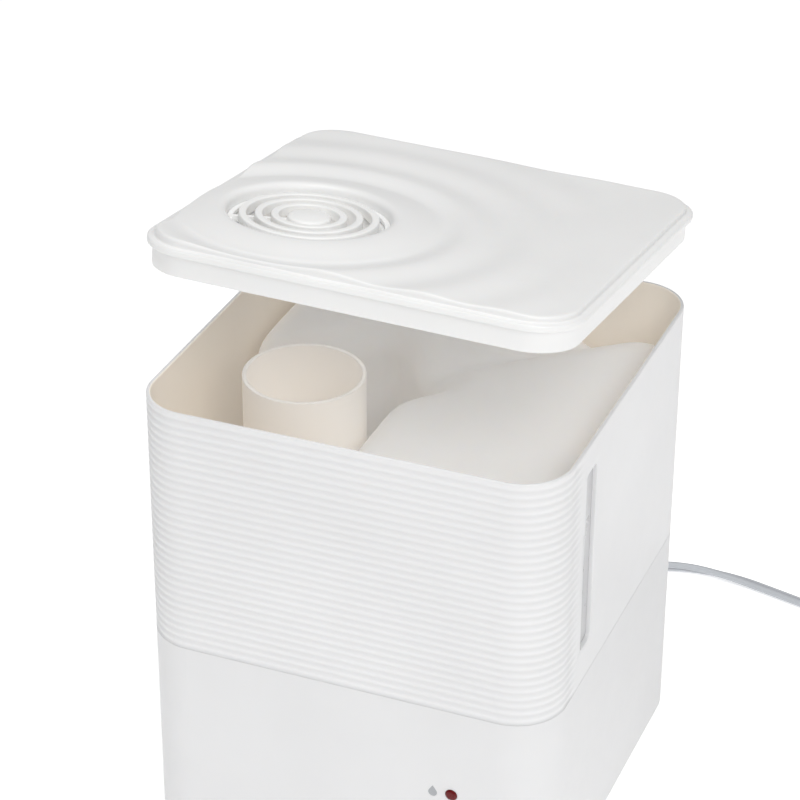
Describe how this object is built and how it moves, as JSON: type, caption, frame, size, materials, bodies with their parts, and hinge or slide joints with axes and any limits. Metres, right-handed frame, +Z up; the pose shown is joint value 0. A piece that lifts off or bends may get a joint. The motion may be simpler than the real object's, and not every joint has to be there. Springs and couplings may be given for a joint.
{
  "type": "cool mist humidifier",
  "caption": "Cube-shaped cool mist humidifier with ribbed front, lift-out tank, mist tube, lid with ring grille, level window, dial and mains lead.",
  "frame": {"origin": "centre of the casing's plan, on the plane that the feet stand on", "axes": "+Z up, -Y towards the front with the dial and lamp, +X to the right seen from the front"},
  "size_m": [0.3423, 0.3128, 0.3065],
  "materials": {
    "casing_white": "fine satin, slightly cool white",
    "lid_white": "fine satin",
    "inner_white": "plain moulded",
    "milky": "translucent milky plastic",
    "smoke": "smoked clear plastic",
    "grille_grey": "satin",
    "lamp_red": "glossy clear red",
    "print_grey": "flat print",
    "dial_white": "satin",
    "rubber_grey": "soft matte",
    "rubber_white": "soft silicone",
    "cord_grey": "satin flexible sheath",
    "board_green": "circuit board",
    "part_black": "moulded",
    "steel": "plain",
    "alloy": "extruded",
    "copper_brown": "varnished winding",
    "brass": "plated",
    "foam": "open foam"
  },
  "bodies": {
    "root": {"base_housing": "casing_white", "upper_casing": "casing_white", "level_window": "smoke", "bottom_cover": "casing_white", "rubber_feet": "rubber_grey", "bottom_screws": "steel", "water_basin": "inner_white", "tube_collar": "inner_white", "air_chimney": "inner_white", "tank_supports": "inner_white", "valve_pin": "inner_white", "float_post": "inner_white", "mist_tube": "milky", "transducer_seal": "rubber_grey", "transducer_disc": "steel", "transducer_clamp": "brass", "clamp_screws": "steel", "float_stop": "inner_white", "level_sensor": "part_black", "fan_frame": "part_black", "air_duct": "inner_white", "intake_filter": "foam", "driver_board": "board_green", "power_board": "board_green", "heat_sink": "alloy", "transformer": "copper_brown", "smoothing_capacitor": "part_black", "board_screws": "steel", "control_board": "board_green", "lamp_lens": "lamp_red", "lamp_led": "lamp_red", "regulator": "part_black", "droplet_icon": "print_grey", "strain_relief": "cord_grey", "power_cord": "cord_grey", "cord_coil": "cord_grey", "cord_tail": "cord_grey", "plug_body": "cord_grey", "plug_blades": "brass"},
    "float": {"float_ring": "inner_white", "float_magnet": "part_black"},
    "fan": {"fan_rotor": "part_black"},
    "dial": {"control_dial": "dial_white"},
    "tank": {"tank_body": "milky"},
    "cap": {"tank_cap": "inner_white", "cap_seal": "rubber_white", "valve_cage": "inner_white", "valve_spring": "steel"},
    "valve": {"valve_stem": "inner_white", "valve_seal": "rubber_white"},
    "lid": {"lid_cover": "lid_white", "mist_grille": "grille_grey"}
  },
  "joints": [
    {"name": "tank_lift", "type": "slide", "parent": "root", "child": "tank", "axis": [0, 0, 1], "range_m": [0, 0.18]},
    {"name": "lid_swing", "type": "hinge", "parent": "tank", "child": "lid", "pos_m": [0.05702, 0.39086, 0.224], "axis": [-0.9895, 0.1444, 0], "range_deg": [-8.37, 16]},
    {"name": "cap_turn", "type": "hinge", "parent": "tank", "child": "cap", "pos_m": [0.05, -0.045, 0.08], "axis": [0, 0, 1], "range_deg": [0, 360]},
    {"name": "valve_push", "type": "slide", "parent": "cap", "child": "valve", "axis": [0, 0, 1], "range_m": [0, 0.003], "stiffness_N_per_m": 60, "springref_m": -0.002, "deforming": ["valve_spring"]},
    {"name": "float_rise", "type": "slide", "parent": "root", "child": "float", "axis": [0, 0, 1], "range_m": [0, 0.012]},
    {"name": "fan_spin", "type": "hinge", "parent": "root", "child": "fan", "pos_m": [-0.045, 0.046, 0.018], "axis": [0, 0, 1], "continuous": true},
    {"name": "dial_turn", "type": "hinge", "parent": "root", "child": "dial", "pos_m": [0.055, -0.1, 0.029], "axis": [0, 1, 0], "range_deg": [-135, 135]}
  ]
}
